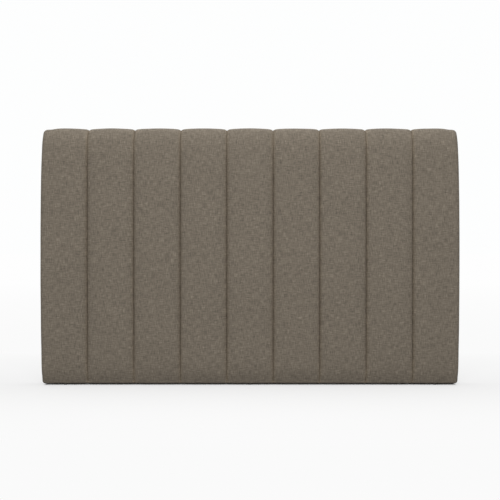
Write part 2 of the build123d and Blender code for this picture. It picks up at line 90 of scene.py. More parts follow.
# %% Rows of the padding's line, in millimetres
PADDING_LINE = [
    # crown y, crown z, timber y, timber z, groove, side drop, side run, crease share
    (49.2, 52.0, 48.0, 52.0, 0.0, 1.8, 3.0, 0.0),
    (49.2, 49.0, 48.0, 49.0, 0.0, 1.8, 3.0, 0.0),
    (49.2, 30.0, 48.0, 30.0, 0.0, 1.8, 3.0, 0.0),
    (49.2, 9.5, 48.0, 9.5, 0.0, 1.8, 3.0, 0.0),
    (47.9, 6.3, 47.0, 7.2, 0.0, 1.8, 3.0, 0.0),
    (44.7, 5.0, 44.7, 6.2, 0.0, 1.8, 3.0, 0.0),
    (20.0, 5.0, 20.0, 6.2, 0.0, 1.8, 3.0, 0.0),
    (-4.3, 5.0, -4.3, 6.2, 0.0, 1.8, 3.0, 0.0),
    (-9.8, 5.3, -7.5, 6.8, 1.0, 1.8, 5.0, 0.4),
    (-16.2, 7.2, -10.2, 8.6, 4.2, 2.4, 7.0, 0.8),
    (-20.0, 11.0, -12.0, 11.4, 7.2, 4.4, 10.0, 1.0),
    (-22.2, 16.5, -12.6, 15.5, 9.3, 8.0, 15.0, 1.0),
    (-27.4, 29.8, -12.6, 29.8, 9.0, 12.0, 20.0, 1.0),
    (-32.6, 44.0, -12.6, 44.4, 10.4, 12.0, 22.0, 1.0),
    (-33.4, 46.5, 0.4, 46.0, 11.0, 12.0, 22.0, 1.0),
    (-35.6, 54.0, 0.4, 54.0, 12.6, 12.0, 22.0, 1.0),
    (-40.4, 80.0, 0.4, 80.0, 16.2, 12.5, 22.0, 1.0),
    (-43.1, 120.0, 0.4, 120.0, 19.2, 16.0, 22.0, 1.0),
    (-44.4, 160.0, 0.4, 160.0, 22.0, 20.0, 22.0, 1.0),
    (-46.4, 297.0, 0.4, 297.0, 23.6, 20.0, 22.0, 1.0),
    (-48.8, 440.0, 0.4, 440.0, 24.0, 20.0, 22.0, 1.0),
    (-49.6, 583.0, 0.4, 583.0, 24.0, 20.0, 22.0, 1.0),
    (-48.9, 725.0, 0.4, 725.0, 23.8, 20.0, 22.0, 1.0),
    (-47.0, 870.0, 0.4, 870.0, 22.8, 20.0, 22.0, 1.0),
    (-44.2, 971.0, 0.4, 971.0, 18.8, 20.0, 22.0, 1.0),
    (-41.0, 1015.0, 0.4, 1015.0, 14.6, 20.0, 22.0, 0.75),
    (-36.6, 1043.0, 0.4, 1043.0, 12.4, 20.0, 22.0, 0.5),
    (-29.6, 1069.0, 0.4, 1071.0, 12.4, 20.0, 22.0, 0.25),
    (-23.2, 1084.0, 1.0, 1074.2, 13.4, 20.0, 22.0, 0.15),
    (-15.2, 1098.4, 2.8, 1076.9, 14.2, 18.5, 21.0, 0.05),
    (-4.6, 1109.5, 5.5, 1078.7, 13.8, 17.5, 20.0, 0.0),
    (7.5, 1114.8, 8.7, 1079.3, 13.4, 17.0, 20.0, 0.0),
    (17.2, 1115.0, 16.0, 1079.3, 12.8, 17.0, 20.0, 0.0),
    (29.45, 1112.2, 28.0, 1079.3, 8.8, 17.0, 20.0, 0.0),
    (39.8, 1105.4, 38.0, 1079.3, 5.6, 16.0, 20.0, 0.0),
    (46.8, 1094.8, 45.0, 1079.2, 2.4, 14.0, 19.0, 0.0),
    (49.2, 1083.0, 48.0, 1077.6, 0.4, 9.0, 13.0, 0.0),
    (49.2, 1076.0, 48.0, 1073.0, 0.1, 3.0, 3.0, 0.0),
    (49.2, 1055.0, 48.0, 1055.0, 0.0, 3.0, 3.0, 0.0),
    (49.2, 1036.0, 48.0, 1036.0, 0.0, 3.0, 3.0, 0.0),
    (49.2, 1033.0, 48.0, 1033.0, 0.0, 3.0, 3.0, 0.0),
]
print("rows in the table", len(PADDING_LINE))

# %% Smooth the line
ROW_STEP = 0.008


def smooth_line(keys, step):
    """Rows between the keys on one smooth curve through their crown places.

    The curve's direction at a key weighs the ways before and after it by their lengths, so that it
    runs from short steps into long ones without a kink.
    """
    keys = np.array(keys)
    rows = []
    for a in range(len(keys) - 1):
        p1, p2 = keys[a, :2], keys[a + 1, :2]
        p0 = keys[a - 1, :2] if a > 0 else 2 * p1 - p2
        p3 = keys[a + 2, :2] if a + 2 < len(keys) else 2 * p2 - p1
        l1, l2, l3 = (max(np.linalg.norm(q - p), 1e-6) for p, q in ((p0, p1), (p1, p2), (p2, p3)))
        m1 = (p2 - p1) * l1 / (l1 + l2) + (p1 - p0) / l1 * l2 * l2 / (l1 + l2)
        m2 = (p2 - p1) * l3 / (l2 + l3) + (p3 - p2) / l3 * l2 * l2 / (l2 + l3)
        count = max(1, ceil(l2 * MM / step))
        for k in range(count):
            t = k / count
            h00, h10 = 2 * t**3 - 3 * t**2 + 1, t**3 - 2 * t**2 + t
            h01, h11 = -2 * t**3 + 3 * t**2, t**3 - t**2
            crown = h00 * p1 + h10 * m1 + h01 * p2 + h11 * m2
            rest = keys[a, 2:] + (keys[a + 1, 2:] - keys[a, 2:]) * t
            rows.append(np.concatenate([crown, rest]))
    rows.append(keys[-1])
    return np.array(rows)


line = smooth_line(PADDING_LINE, ROW_STEP)
line[:, :7] *= MM
crown, timber = line[:, :2], line[:, 2:4]
groove, drop, run, crease = line[:, 4], line[:, 5], line[:, 6], line[:, 7]
ahead = np.gradient(crown, axis=0)
ahead /= np.linalg.norm(ahead, axis=1)[:, None]
outward = np.stack([-ahead[:, 1], ahead[:, 0]], axis=1)
steps = np.linalg.norm(np.diff(crown, axis=0), axis=1)
path_length = np.concatenate([[0.0], np.cumsum(steps)])
ROWS = len(line) - 1
print("rows along the strip", ROWS, "strip length", round(float(path_length[-1]), 3))

# %% [markdown]
# ## The line of the sides
# Seen from the front, the headboard is fullest half way up, is drawn in a little above and below,
# and has small round corners at the floor. The side could be straight, but the cover's pull on the
# soft edge shows in the outline. A table of heights is read wherever a piece needs the side.

# %% Half the headboard's width at a height
HALF_WIDTH = 0.9
CORNER_RADIUS = 0.013
CORNER_TOP = 0.018
SIDE_LINE = [
    # height, how far the side is drawn in there, in metres
    (0.00, 0.0036), (0.04, 0.0040), (0.08, 0.0040), (0.12, 0.0032), (0.18, 0.0018),
    (0.25, 0.0007), (0.40, 0.0), (0.65, 0.0), (0.80, 0.0007), (0.88, 0.0014),
    (0.95, 0.0026), (1.01, 0.0036), (1.06, 0.0034), (1.12, 0.0030),
]


def reach(z):
    """Half the headboard's width at a height: fullest half way up, and round at the lower corners."""
    below = np.clip(CORNER_TOP - z, 0, CORNER_RADIUS)
    drawn_in = np.interp(z, *zip(*SIDE_LINE))
    return HALF_WIDTH - drawn_in - CORNER_RADIUS + np.sqrt(CORNER_RADIUS**2 - below**2)


print("half width at 0.1, 0.5 and 1.0 m", [round(float(reach(z)), 4) for z in (0.1, 0.5, 1.0)])

# %% [markdown]
# ## Cross-section of a channel
# Each channel is sewn down at its two seams and stands proud between them. Beside the seam the
# cloth rises steeply out of a tight crease, then goes over a soft shoulder to a nearly flat crown.
# Where the padding rolls over the top, the crease is less tight. The two rises could be drawn as
# curves, but short tables of the rise at each distance from the seam are easier to tune, and all
# channels share them.

# %% Rise of the cloth beside a seam
CHANNEL_WIDTH = 0.2
HALF_CHANNEL = CHANNEL_WIDTH / 2
SEAM_DISTANCES = [d * MM for d in (0, 0.8, 2.0, 3.6, 5.6, 8.6, 13, 19, 27, 38, 54, 76, 100)]
FRONT_RISE = (0, 0.09, 0.18, 0.275, 0.375, 0.485, 0.605, 0.725, 0.83, 0.91, 0.96, 0.99, 1)
TOP_RISE = (0, 0.08, 0.17, 0.26, 0.34, 0.44, 0.54, 0.625, 0.72, 0.85, 0.915, 0.965, 1)


def rise(distance, front_share):
    """Share of the groove's depth that the cloth has risen at a distance from the seam."""
    front = np.interp(distance, SEAM_DISTANCES, FRONT_RISE)
    top = np.interp(distance, SEAM_DISTANCES, TOP_RISE)
    return front_share * front + (1 - front_share) * top


print("columns from the seam to the crown", len(SEAM_DISTANCES))

# %% [markdown]
# ## A blank for padded pieces
# A padded piece is a closed form with an outer skin, an inner skin on the timber, and walls at
# its seams. It could start as a cube that is cut again and again, but a grid that is extruded
# twice gives even rows and columns at once: the first extrusion leaves a ring of points just under
# the edge, which keeps the seam's edge firm when the form is subdivided later.

# %% Make the blank
def blank(name, across, along):
    """A closed slab of grid faces one unit wide, long and thick, with a ring under its edge."""
    bpy.ops.object.select_all(action="DESELECT")
    bpy.ops.mesh.primitive_grid_add(x_subdivisions=across, y_subdivisions=along, size=1)
    piece = bpy.context.object
    piece.name = name
    bpy.ops.object.mode_set(mode="EDIT")
    bpy.ops.mesh.select_all(action="SELECT")
    for _ in range(2):
        bpy.ops.mesh.extrude_region_move(TRANSFORM_OT_translate={"value": (0, 0, -1)})
    bpy.ops.object.mode_set(mode="OBJECT")
    return piece


def grid_places(piece, across, along):
    """Column, row and layer number of each vertex of a blank."""
    found = corners(piece)
    column = np.rint((found[:, 0] + 0.5) * across).astype(int)
    row = np.rint((found[:, 1] + 0.5) * along).astype(int)
    layer = np.rint(-found[:, 2]).astype(int)
    return column, row, layer


def lay(piece, column, row, layer, outer, inner, ring_depth):
    """Moves a blank's vertices to its outer skin, its inner skin and the ring between them."""
    out, back = outer[column, row], inner[column, row]
    way = back - out
    length = np.maximum(np.linalg.norm(way, axis=1), 1e-6)[:, None]
    ring = out + way * np.minimum(ring_depth / length, 0.5)
    placed = np.where((layer == 0)[:, None], out, np.where((layer == 1)[:, None], ring, back))
    put_corners(piece, placed)
    only(piece)
    bpy.ops.object.mode_set(mode="EDIT")
    bpy.ops.mesh.select_all(action="SELECT")
    bpy.ops.mesh.normals_make_consistent(inside=False)
    bpy.ops.object.mode_set(mode="OBJECT")


def cloth_map(piece, across, along):
    """Writes the cloth's own length and width into the piece's UV map, in metres."""
    uv = piece.data.uv_layers.active or piece.data.uv_layers.new(name="cloth")
    uv.name = "cloth"
    loops = np.zeros(len(piece.data.loops), int)
    piece.data.loops.foreach_get("vertex_index", loops)
    uv.data.foreach_set("uv", np.stack([across[loops], along[loops]], axis=1).ravel())


# %% [markdown]
# ## Middle and end channels
# A middle channel has a seam on both sides. An end channel has one seam, and on its other side
# the padding goes round the headboard's edge and is turned in behind the side panel. An end
# channel's top has less padding behind it towards the side, so it leans down there a little. Both
# could be sculpted from the same block, but as columns across the strip they share its line
# exactly: a column knows its place at every row.

# %% Columns of a middle channel
SEAM_GAP = 0.00015


def middle_columns():
    """Outer and inner skins of a channel that is centred on x = 0."""
    xs = [-HALF_CHANNEL + d for d in SEAM_DISTANCES]
    xs += [-x for x in reversed(xs[:-1])]
    xs = np.array(xs)
    distance = HALF_CHANNEL - np.abs(xs)
    outer = np.zeros((len(xs), ROWS + 1, 3))
    inner = np.zeros_like(outer)
    for c, (x, d) in enumerate(zip(xs, distance)):
        depth = -groove * (1 - rise(d, crease))
        x_in = x - np.sign(x) * (SEAM_GAP if d == 0 else 0)
        outer[c] = np.column_stack([np.full(ROWS + 1, x_in), crown + outward * depth[:, None]])
        inner[c] = np.column_stack([np.full(ROWS + 1, x_in), timber])
    return outer, inner, distance, xs


print("columns of a middle channel", len(middle_columns()[3]))

# %% Columns of an end channel
LEAN, LEAN_ABOVE = 0.0065, 1.0
LEAN_START, LEAN_END = 0.066, 0.026
SIDE_TURNS = [radians(a) for a in (0, 12, 24, 36, 48, 60, 72, 82, 90)]
SIDE_LAYERS, TUCK_SHARE = 0.0057, 0.8
SIDE_RUN, SIDE_ARC = 0.022, 0.033
TUCK_DEPTH, TUCK_LENGTH = 0.0006, 0.016
FREE_DISTANCE = 0.03


def lean(distance):
    """How far the end channel's top has sunk at a distance from the headboard's side."""
    way = np.clip((LEAN_START - distance) / (LEAN_START - LEAN_END), 0, 1)
    upwards = np.where(crown[:, 1] > LEAN_ABOVE, np.clip(outward[:, 1], 0, 1), 0)
    return LEAN * upwards * way * way * (3 - 2 * way)


def end_columns():
    """Outer and inner skins of the right-hand end channel, in place."""
    seam_x = HALF_WIDTH - CHANNEL_WIDTH
    middle_x = HALF_WIDTH - HALF_CHANNEL
    side = reach(crown[:, 1])
    turn_x = side - run
    skins, distances, lengths = [], [], []
    for d in SEAM_DISTANCES:
        depth = -groove * (1 - rise(d, crease))
        x = np.full(ROWS + 1, seam_x + max(d, SEAM_GAP))
        skins.append((x, depth, x))
        distances.append(d)
        lengths.append(d)
    for share in (0.3, 0.55, 0.8):
        x = middle_x + (turn_x - middle_x) * share
        skins.append((x, -lean(side - x), x))
        distances.append(HALF_CHANNEL)
        lengths.append(HALF_CHANNEL + share * (HALF_CHANNEL - SIDE_RUN))
    tuck = np.minimum(SIDE_LAYERS, run * TUCK_SHARE)
    for turn in SIDE_TURNS:
        x = turn_x + run * sin(turn)
        skins.append((x, -drop * (1 - cos(turn)) - lean(side - x), turn_x + (run - tuck) * sin(turn)))
        distances.append(max(0.0, FREE_DISTANCE * cos(turn)))
        lengths.append(CHANNEL_WIDTH - SIDE_RUN + SIDE_ARC * turn / (pi / 2))
    skins.append((side - tuck, -drop - lean(0) - TUCK_DEPTH, side - tuck))
    distances.append(0.0)
    lengths.append(CHANNEL_WIDTH + TUCK_LENGTH)
    outer = np.zeros((len(skins), ROWS + 1, 3))
    inner = np.zeros_like(outer)
    for c, (x, depth, x_in) in enumerate(skins):
        outer[c] = np.column_stack([x, crown + outward * depth[:, None]])
        inner[c] = np.column_stack([x_in, timber])
    return outer, inner, np.array(distances), np.array(lengths)


print("columns of an end channel", len(end_columns()[3]))

# %% [markdown]
# ## Filling the channels
# On the real headboard the wadding and foam push the cloth outwards until it is tight between
# its seams. The recipe here is the same: the pad starts a few millimetres slack, a cloth
# simulation under pressure swells it from inside, and its movement is capped so that the crown
# comes back to its line. The seams, the back and the inner skin are pinned. The pressure is high
# because the run is short, and the cap decides how full the pad ends. The shape could be drawn
# without it, but the simulated swelling gives the fullness of a stuffed channel.

# %% Swell a pad
SLACK = 0.0025
PIN_DISTANCE = 0.009
FREE_ABOVE, FREE_RAMP = 0.03, 0.06
FREE_BEFORE, FREE_BACK_RAMP = 0.044, 0.02
BACK_FIXED_BELOW = 0.5
PINNED_BELOW = 0.02
FILL_FRAMES = 14
FILL_PRESSURE = 300.0


def soft_share():
    """How free the cloth is along the strip: nothing under the plinth and on the back."""
    free = np.clip((crown[:, 1] - FREE_ABOVE) / FREE_RAMP, 0, 1)
    over_top = np.clip((FREE_BEFORE - crown[:, 0]) / FREE_BACK_RAMP, 0, 1)
    lower_back = np.where((crown[:, 0] > 0.0) & (crown[:, 1] < BACK_FIXED_BELOW), 0, 1)
    return free * over_top * lower_back


def swell(piece, column, row, layer, distance):
    """Runs the cloth simulation and moves the outer skin out along its own line."""
    freedom = soft_share()[row] * np.clip((distance[column] - PIN_DISTANCE) / FREE_DISTANCE, 0, 1)
    freedom = np.where(layer == 0, freedom, 0)
    out = np.column_stack([np.zeros(len(row)), outward[row]])
    tight = corners(piece)
    slack = tight - out * (SLACK * freedom)[:, None]
    put_corners(piece, slack)
    pins = piece.vertex_groups.new(name="pinned")
    for i in np.nonzero(freedom < PINNED_BELOW)[0]:
        pins.add([int(i)], 1.0, "REPLACE")
    only(piece)
    cloth = piece.modifiers.new("filling", "CLOTH")
    cloth.settings.quality = 6
    cloth.settings.vertex_group_mass = "pinned"
    cloth.settings.use_pressure = True
    cloth.settings.uniform_pressure_force = FILL_PRESSURE
    cloth.settings.effector_weights.gravity = 0
    cloth.point_cache.frame_start = 1
    cloth.point_cache.frame_end = FILL_FRAMES
    for shown in range(1, FILL_FRAMES + 1):
        bpy.context.scene.frame_set(shown)
    bpy.ops.object.modifier_apply(modifier=cloth.name)
    bpy.context.scene.frame_set(1)
    moved = ((corners(piece) - slack) * out).sum(axis=1)
    put_corners(piece, slack + out * np.clip(moved, 0, SLACK * freedom)[:, None])
    piece.vertex_groups.clear()
    print(piece.name, "swelled by up to", round(float(moved.max()) / MM, 1), "mm before the cap")


# %% Make one middle channel and one end channel
PAD_RING = 0.0025


def subdivided(piece):
    """One subdivision for the finished skin, applied."""
    only(piece)
    smooth = piece.modifiers.new("smooth", "SUBSURF")
    smooth.levels = smooth.render_levels = 1
    bpy.ops.object.modifier_apply(modifier=smooth.name)


def make_pad(name, columns):
    """One padded channel: a blank laid on its columns, swelled and subdivided."""
    outer, inner, distance, lengths = columns
    across = len(distance) - 1
    pad = blank(name, across, ROWS)
    column, row, layer = grid_places(pad, across, ROWS)
    lay(pad, column, row, layer, outer, inner, PAD_RING)
    cloth_map(pad, lengths[column], path_length[row])
    swell(pad, column, row, layer, distance)
    subdivided(pad)
    return pad


middle_pad = make_pad("middle_pad", middle_columns())
end_pad = make_pad("end_pad", end_columns())
print("faces of one pad", len(middle_pad.data.polygons), len(end_pad.data.polygons))

# %% [markdown]
# ## Nine channels
# Hand-filled channels are never quite equal. Nine pads could be filled one by one, but that takes
# long and gives nearly the same forms. So the middle pad is copied to seven places and the end pad
# to the two ends, and each copy gets its own slow unevenness, and small puckers where the seam's
# thread pulls the cloth. The noise is the same on each run. How near a point is to its seam is kept
# in an attribute, which the cloth's finish reads later.

# %% Unevenness of a hand-filled channel
UNEVEN = 0.0009
UNEVEN_SIZE, UNEVEN_NARROW = 0.13, 1.4
PUCKER = 0.00035
PUCKER_WIDTH, PUCKER_HEIGHT, PUCKER_REACH = 0.02, 0.009, 0.011
BACK_PART = 0.03
TOP_START, TOP_RAMP = 1.06, 0.05


def varied(points, seam_distance, seed):
    """Slow unevenness of the filling and fine puckers beside the seam, as shifts along Y and Z."""
    shifts = np.zeros_like(points)
    for i, (p, d) in enumerate(zip(points, seam_distance)):
        if p[1] > BACK_PART:
            continue
        slow = noise.noise(Vector((p[0] / UNEVEN_SIZE * UNEVEN_NARROW, seed * 7.3, p[2] / UNEVEN_SIZE)))
        fine = noise.noise(Vector((p[0] / PUCKER_WIDTH, seed * 3.1, p[2] / PUCKER_HEIGHT)))
        full = min(d / FREE_DISTANCE, 1.0)
        amount = UNEVEN * slow * full + PUCKER * fine * exp(-d / PUCKER_REACH)
        high = max(0.0, (p[2] - TOP_START) / TOP_RAMP)
        shifts[i, 1] = -amount * (1 - high)
        shifts[i, 2] = amount * min(high, 1)
    return points + shifts


print("unevenness up to", UNEVEN / MM, "mm, puckers up to", PUCKER / MM, "mm")

# %% Copy the channels
CHANNELS = 9
CREASE_WIDTH = 0.005
CLOTH_SHIFT = 0.37


def copy_of(piece, name):
    """A copy with a mesh of its own."""
    made = piece.copy()
    made.data = piece.data.copy()
    made.name = name
    made.data.name = name
    bpy.context.scene.collection.objects.link(made)
    return made


def shift_cloth(piece, along):
    """Moves the cloth's pattern, as if the piece were cut from another part of the roll."""
    uv = piece.data.uv_layers["cloth"].data
    flat = np.zeros(len(uv) * 2)
    uv.foreach_get("uv", flat)
    flat = flat.reshape(-1, 2)
    flat[:, 0] += along
    uv.foreach_set("uv", flat.ravel())


pads = []
for number in range(1, CHANNELS + 1):
    at_end = number in (1, CHANNELS)
    pad = copy_of(end_pad if at_end else middle_pad, f"channel_pad_{number}")
    places = corners(pad)
    centre = -HALF_WIDTH + CHANNEL_WIDTH * (number - 0.5)
    if at_end:
        seam_distance = np.abs(places[:, 0] - (HALF_WIDTH - CHANNEL_WIDTH))
        if number == 1:
            places[:, 0] *= -1
            pad.data.flip_normals()
    else:
        seam_distance = HALF_CHANNEL - np.abs(places[:, 0])
        places[:, 0] += centre
    # The crease attribute is 1 at a seam and fades away from it; the cloth's finish paints warm bounce
    # light by it.
    crease_share = pad.data.attributes.new("crease", "FLOAT", "POINT")
    crease_share.data.foreach_set("value", np.exp(-seam_distance / CREASE_WIDTH))
    put_corners(pad, varied(places, seam_distance, number))
    shift_cloth(pad, CLOTH_SHIFT * number)
    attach(pad, "root")
    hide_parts(f"channel_cover_{number}", f"channel_wadding_{number}", f"channel_foam_{number}")
    only(pad)
    bpy.ops.object.shade_smooth_by_angle(angle=SMOOTH_ANGLE)
    pads.append(pad)
for pattern_piece in (middle_pad, end_pad):
    bpy.data.objects.remove(pattern_piece)
print("channels", [p.name for p in pads])

# %% [markdown]
# ## Side panels
# A narrow padded panel closes each side of the headboard. Its front and top edges meet the end
# channel in a seam, it turns in under the lower corner, and its cloth goes round the back edge and
# ends in a flap that is stapled to the frame. The panel could be cut from a sheet, but a blank laid
# row by row follows the end channel's edge. It is crowned a little, and drawn in at its seams.

# %% Rows of the side panel
BACK_Y, BACK_ROUND = 0.0492, 0.003
COVER = 0.0012
PANEL_FOOT, PANEL_GAP = 0.0155, 0.0004
PANEL_STEP = 0.012
PANEL_FINE = (0.022, 0.017, 0.013, 0.009, 0.006, 0.0035, 0.0018, 0.0005)
CORNER_STEPS = 8
FOOT_DRAWN_IN = 0.0015
LEAST_DEPTH = 0.006


def panel_rows():
    """Front edge, back edge, side and thickness direction of the panel at each of its heights."""
    edge = crown - outward * (drop + lean(0))[:, None]
    first = next(i for i, c in enumerate(crown) if c[0] < 0 and c[1] > PANEL_FOOT)
    top = first + int(np.argmax(edge[first:, 1]))
    front_edge, back_edge = edge[first : top + 1], edge[top:][::-1]
    panel_top = float(edge[top, 1])

    def front_at(z):
        return float(np.interp(z, front_edge[:, 1], front_edge[:, 0])) + PANEL_GAP

    def back_at(z):
        return min(BACK_Y - BACK_ROUND, float(np.interp(z, back_edge[:, 1], back_edge[:, 0])))

    rows = []
    for a in range(CORNER_STEPS + 1):
        share = a / CORNER_STEPS
        turn = radians(270 + 90 * share)
        z = CORNER_TOP + CORNER_RADIUS * sin(turn)
        back = back_at(z) - FOOT_DRAWN_IN * (1 - share)
        thick = COVER + (SIDE_LAYERS - COVER) * share
        rows.append((front_at(z), back, float(reach(z)), z, cos(turn), sin(turn), thick))
    straight = panel_top - PANEL_FINE[0] - CORNER_TOP
    count = ceil(straight / PANEL_STEP)
    heights = [CORNER_TOP + straight * k / count for k in range(1, count + 1)]
    heights += [panel_top - below for below in PANEL_FINE[1:]]
    for z in heights:
        back = back_at(z)
        front = min(front_at(z), back - LEAST_DEPTH)
        rows.append((front, back, float(reach(z)), z, 1.0, 0.0, SIDE_LAYERS))
    return rows


print("rows of the side panel", len(panel_rows()))

# %% Make the right-hand side panel
PANEL_SHARES = (0, 0.02, 0.05, 0.1, 0.2, 0.35, 0.5, 0.65, 0.8, 0.9, 0.95, 0.98, 1)
PANEL_DIP, DIP_REACH = 0.0018, 0.005
PANEL_RING = 0.0015
PANEL_CLOTH_AT = 4.0


def side_panel():
    """The padded panel on the headboard's right-hand side."""
    rows = panel_rows()
    across, along = len(PANEL_SHARES) - 1, len(rows) - 1
    outer = np.zeros((across + 1, along + 1, 3))
    inner = np.zeros_like(outer)
    for j, (front, back, x, z, nx, nz, thick) in enumerate(rows):
        for c, share in enumerate(PANEL_SHARES):
            y = front + (back - front) * share
            edge = min(share * (back - front), max(0.0, rows[-1][3] - z))
            dip = PANEL_DIP * exp(-edge / DIP_REACH)
            outer[c, j] = (x - nx * dip, y, z - nz * dip)
            inner[c, j] = (x - nx * thick, y, z - nz * thick)
    panel = blank("right_side_panel", across, along)
    column, row, layer = grid_places(panel, across, along)
    lay(panel, column, row, layer, outer, inner, PANEL_RING)
    places = corners(panel)
    cloth_map(panel, places[:, 1] + PANEL_CLOTH_AT, places[:, 2])
    subdivided(panel)
    return panel


right_panel = side_panel()
print("side panel faces", len(right_panel.data.polygons))

# %% Make the flap on the back
FLAP_LOW, FLAP_HIGH, FLAP_STEP = 0.0518, 1.0337, 0.02
FLAP_XS = [0.888, 0.876, 0.865, 0.855]
FLAP_SUNK = 0.0002
FLAP_WAVE, STAPLE_SPACING = 0.00025, 0.075
FLAP_CLOTH_AT = 4.95


def back_flap():
    """The panel's cloth round the upright back edge and over the frame's back."""
    turns = [radians(90 * k / 6) for k in range(7)]
    xs = [HALF_WIDTH - BACK_ROUND + BACK_ROUND * cos(t) for t in turns] + FLAP_XS
    ys = [BACK_Y - BACK_ROUND + BACK_ROUND * sin(t) for t in turns]
    ys += [BACK_Y - FLAP_SUNK] * len(FLAP_XS)
    across, along = len(xs) - 1, ceil((FLAP_HIGH - FLAP_LOW) / FLAP_STEP)
    bpy.ops.object.select_all(action="DESELECT")
    bpy.ops.mesh.primitive_grid_add(x_subdivisions=across, y_subdivisions=along, size=1)
    flap = bpy.context.object
    column, row, _ = grid_places(flap, across, along)
    z = FLAP_LOW + (FLAP_HIGH - FLAP_LOW) * row / along
    wave = FLAP_WAVE * np.sin(z / STAPLE_SPACING * 2 * pi) * (column > len(turns))
    x = np.array(xs)[column] - (HALF_WIDTH - reach(z))
    put_corners(flap, np.column_stack([x, np.array(ys)[column] + wave, z]))
    cloth_map(flap, (FLAP_CLOTH_AT - np.array(xs))[column], z)
    only(flap)
    bpy.ops.object.mode_set(mode="EDIT")
    bpy.ops.mesh.select_all(action="SELECT")
    bpy.ops.mesh.normals_make_consistent(inside=False)
    bpy.ops.object.mode_set(mode="OBJECT")
    away = flap.data.polygons[0].normal.dot(Vector((1, 1, 0)))
    if away < 0:
        flap.data.flip_normals()
    thick = flap.modifiers.new("cloth", "SOLIDIFY")
    thick.thickness = COVER
    thick.offset = -1
    bpy.ops.object.modifier_apply(modifier=thick.name)
    return flap


flap = back_flap()
print("flap faces", len(flap.data.polygons))

# %% Join the panel and its flap, and mirror them
LEFT_CLOTH_SHIFT = 1.7
bpy.ops.object.select_all(action="DESELECT")
flap.select_set(True)
right_panel.select_set(True)
bpy.context.view_layer.objects.active = right_panel
bpy.ops.object.join()
left_panel = copy_of(right_panel, "left_side_panel")
mirrored = corners(left_panel)
mirrored[:, 0] *= -1
put_corners(left_panel, mirrored)
left_panel.data.flip_normals()
for panel, side in ((left_panel, "left"), (right_panel, "right")):
    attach(panel, "root")
    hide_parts(f"{side}_side_border", f"{side}_side_wadding")
    only(panel)
    bpy.ops.object.shade_smooth_by_angle(angle=SMOOTH_ANGLE)
shift_cloth(left_panel, LEFT_CLOTH_SHIFT)
print("side panels", left_panel.name, right_panel.name)

# %% [markdown]
# ## Dust cover
# The back is closed by a thin black cloth, cut with a small window over each threaded insert and
# stapled flat to the frame. Between the uprights nothing is behind it, so it sinks in a little and
# shows slack waves from staple to staple. It is a grid that is moved in code, given its
# thickness by Solidify, and cut by four rods. A cloth simulation could make it sag too, but on a
# cloth that is held so tightly it would give hardly more than these few waves.

# %% How the dust cover sags
UPRIGHTS, UPRIGHT_HALF = (-0.864, -0.5, 0.0, 0.5, 0.864), 0.034
OPEN_LOW, OPEN_HIGH, OPEN_RAMP = 0.06, 1.01, 0.08
SAG, SAG_WAVES, SAG_UNEVEN = 0.0016, 5, 0.8


def sunk(x, z):
    """How far the cloth sinks between the timbers."""
    beside = min(abs(x - u) for u in UPRIGHTS) - UPRIGHT_HALF
    over = min(z - OPEN_LOW, OPEN_HIGH - z)
    open_share = min(max(beside, 0) / OPEN_RAMP, 1) * min(max(over, 0) / OPEN_RAMP, 1)
    wave = noise.noise(Vector((x * SAG_WAVES, 2.5, z * SAG_WAVES)))
    return SAG * open_share * (1 + SAG_UNEVEN * wave)


print("sag between two uprights", round(sunk(0.25, 0.5) / MM, 2), "mm")

# %% Make the dust cover
DUST_LOW, DUST_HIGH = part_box("dust_cover")
DUST_ACROSS, DUST_ALONG = 118, 70
DUST_THICKNESS = 0.0008
DUST_CLOTH_AT = 1.0
bpy.ops.object.select_all(action="DESELECT")
bpy.ops.mesh.primitive_grid_add(x_subdivisions=DUST_ACROSS, y_subdivisions=DUST_ALONG, size=1)
dust = bpy.context.object
dust.name = "dust_cover_cloth"
column, row, _ = grid_places(dust, DUST_ACROSS, DUST_ALONG)
dust_x = DUST_LOW.x + (DUST_HIGH.x - DUST_LOW.x) * column / DUST_ACROSS
dust_z = DUST_LOW.z + (DUST_HIGH.z - DUST_LOW.z) * row / DUST_ALONG
sag = np.array([sunk(x, z) for x, z in zip(dust_x, dust_z)])
put_corners(dust, np.column_stack([dust_x, DUST_HIGH.y - sag, dust_z]))
cloth_map(dust, dust_x + DUST_CLOTH_AT, dust_z)
if dust.data.polygons[0].normal.y < 0:
    dust.data.flip_normals()
only(dust)
thick = dust.modifiers.new("thickness", "SOLIDIFY")
thick.thickness = DUST_THICKNESS
thick.offset = -1
bpy.ops.object.modifier_apply(modifier=thick.name)
print("dust cover", [round(side, 3) for side in dust.dimensions])

# %% Cut its windows
WINDOWS = [(x, z) for x in (-0.5, 0.5) for z in (0.26, 0.36)]
WINDOW_RADIUS = 0.009
ROD_LENGTH, ROD_Y = 0.02, 0.05
rods = []
for x, z in WINDOWS:
    bpy.ops.object.select_all(action="DESELECT")
    bpy.ops.mesh.primitive_cylinder_add(
        vertices=40, radius=WINDOW_RADIUS, depth=ROD_LENGTH,
        location=(x, ROD_Y, z), rotation=(pi / 2, 0, 0),
    )
    rods.append(bpy.context.object)
for rod in rods:
    only(dust)
    cut = dust.modifiers.new("window", "BOOLEAN")
    cut.object = rod
    cut.operation = "DIFFERENCE"
    bpy.ops.object.modifier_apply(modifier=cut.name)
    bpy.data.objects.remove(rod)
only(dust)
bpy.ops.object.shade_smooth_by_angle(angle=radians(30))
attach(dust, "root")
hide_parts("dust_cover")
print("dust cover faces", len(dust.data.polygons))

# %% [markdown]
# ## Finishes
# The finishes are made of nodes, at the real scale of weave and grain. The nodes could be placed by
# hand in the shader editor. Here a small class adds and joins each of them in one line, which is
# easier to read and to change, and the same class serves every finish.

